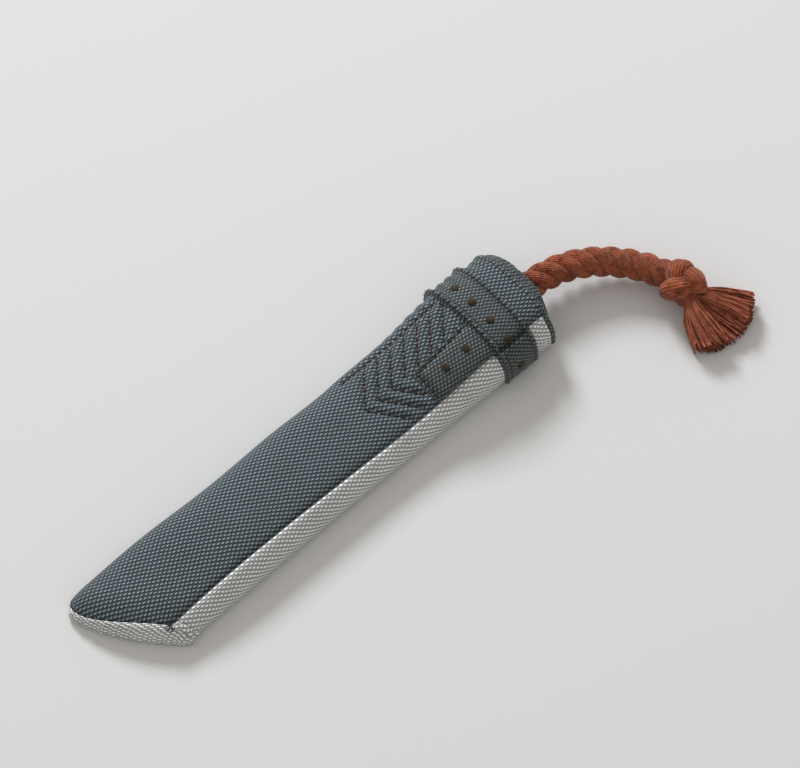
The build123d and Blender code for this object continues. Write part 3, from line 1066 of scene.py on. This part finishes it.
def tassel_yarn():
    share = rng.uniform(0, 1)
    share = share + 0.05 * math.sin(4 * math.pi * share)
    layer = rng.uniform(0, 1) * (1 - 0.35 * math.exp(-((share - 0.5) / 0.1) ** 2))
    heading = FAN_FROM + (FAN_TO - FAN_FROM) * share
    length = (25.3 - 2.7 * share) * rng.uniform(0.9, 1.03)
    t = np.linspace(0, 1, 14)
    sideways = np.array([math.cos(heading), math.sin(heading)])
    spread = np.array([math.cos(heading + math.pi / 2), math.sin(heading + math.pi / 2)])
    start = NECK_MM[:2] + spread * (share - 0.4) * -5.0 - sideways * 3.0
    bow = 1.2 - 4.0 * share + rng.uniform(-1.0, 1.0)
    wave, phase = rng.uniform(0.1, 0.45), rng.uniform(0, 6.28)
    wander = np.sin(t * np.pi) * bow + wave * np.sin(t * 9.0 + phase) * t
    flat = start + np.outer(t * (length + 3.0), sideways) + np.outer(wander, spread)
    neck_height = 4.0 + 9.0 * layer
    end_height = YARN_RADIUS_MM + 0.2 + 8.0 * layer ** 1.2
    hump = 1.6 * np.sin(t * np.pi) * layer
    z = neck_height + (end_height - neck_height) * t ** 1.15 + hump + rng.uniform(-0.2, 0.2)
    return np.column_stack([flat, np.maximum(z, YARN_RADIUS_MM + 0.1)])


yarns = Bundle()
for _ in range(YARN_COUNT):
    yarns.add(*tube(tassel_yarn(), YARN_RADIUS_MM, 7, ply=2, lay=2.2, depth=0.15, taper=0.85))
tassel_piece = yarns.piece("tassel_yarns", tassel_cotton, "rust_cotton", TAIL)
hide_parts("tassel")
print("yarns", YARN_COUNT)

# %% [markdown]
# ## Hidden parts
# The filling fits a little inside the covers. The stop knot and its binding sit inside it
# and keep their CAD shapes, with the rope's and the thread's materials.


# %% Filling
def plain_finish(name, light, dark, scale):
    finish = Finish(name, Roughness=0.85)
    geometry = finish.node("ShaderNodeNewGeometry", None, 0)
    grain = finish.node("ShaderNodeTexNoise", NOISE_3D, Vector=geometry, Scale=scale, Detail=4.0)
    stops = [(0.35, dark), (0.65, light)]
    finish.drive(Base_Color=finish.node("ShaderNodeValToRGB", {"stops": stops}, Fac=grain))
    finish.bump(grain, 0.2 * MM)
    return finish.material


foam = plain_finish("foam", colour(226, 224, 216), colour(200, 198, 190), 900.0)
filling_places = np.linspace(-90.0, RIDGE_MM - 1.5, 120)
filling = ring_piece("foam_filling", filling_places, lambda x, d: np.full(np.shape(x), -2.6), foam,
                     120)
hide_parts("fill_core")
print("filling faces", len(filling.data.polygons))

# %% Parts inside
hidden_finishes = {"inner_stop_knot": cotton, "anchor_binding": brown_thread}
for node_name, material in hidden_finishes.items():
    node_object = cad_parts[node_name]
    node_object = node_object if hasattr(node_object, "material_slots") else bpy.data.objects[node_name]
    for slot_index in range(max(1, len(node_object.material_slots))):
        if node_object.material_slots:
            node_object.material_slots[slot_index].material = material
        else:
            node_object.data.materials.append(material)
print("hidden parts finished")

# %% [markdown]
# ## Floor
# A matte, pale sheet a fraction of a millimetre under the object, so that nothing flickers
# where the cloth rests on it. It belongs to the stage and is no part of the object.

# %% Floor
floor_finish = Finish("floor_paper", Roughness=0.9, Specular_IOR_Level=0.1)
floor_finish.drive(Base_Color=colour(221, 221, 220))
floor_mesh = bpy.data.meshes.new("floor")
FLOOR_SIZE = 6.0
floor_mesh.from_pydata([(-FLOOR_SIZE, -FLOOR_SIZE, 0), (FLOOR_SIZE, -FLOOR_SIZE, 0),
                        (FLOOR_SIZE, FLOOR_SIZE, 0), (-FLOOR_SIZE, FLOOR_SIZE, 0)], [], [(0, 1, 2, 3)])
floor_mesh.materials.append(floor_finish.material)
floor = bpy.data.objects.new("floor", floor_mesh)
bpy.context.scene.collection.objects.link(floor)
floor.location = (0, 0, -0.0002)

# %% [markdown]
# ## Light
# The room gives a warm fill, so the shadows are warm. The key is slightly blue, so that the
# two add up to a neutral white where both reach the floor.

# %% Light
bpy.context.scene.view_settings.view_transform = "Standard"
world = bpy.data.worlds.new("room")
world.use_nodes = True
world.node_tree.nodes["Background"].inputs[0].default_value = (1.0, 0.965, 0.925, 1.0)
world.node_tree.nodes["Background"].inputs[1].default_value = 0.54
bpy.context.scene.world = world


def soft_light(name, direction, distance, size, power, tint):
    data = bpy.data.lights.new(name, "AREA")
    data.shape, data.size, data.energy, data.color = "DISK", size, power, tint
    lamp = bpy.data.objects.new(name, data)
    bpy.context.scene.collection.objects.link(lamp)
    aim = Vector(direction).normalized()
    lamp.location = Vector((0.03, 0.0, 0.0)) + aim * distance
    lamp.rotation_euler = aim.to_track_quat("Z", "Y").to_euler()


soft_light("key", (0.34, 0.935, 0.63), 3.4, 1.0, 99.0, (0.965, 1.0, 1.045))
print("lights", len(bpy.data.lights))
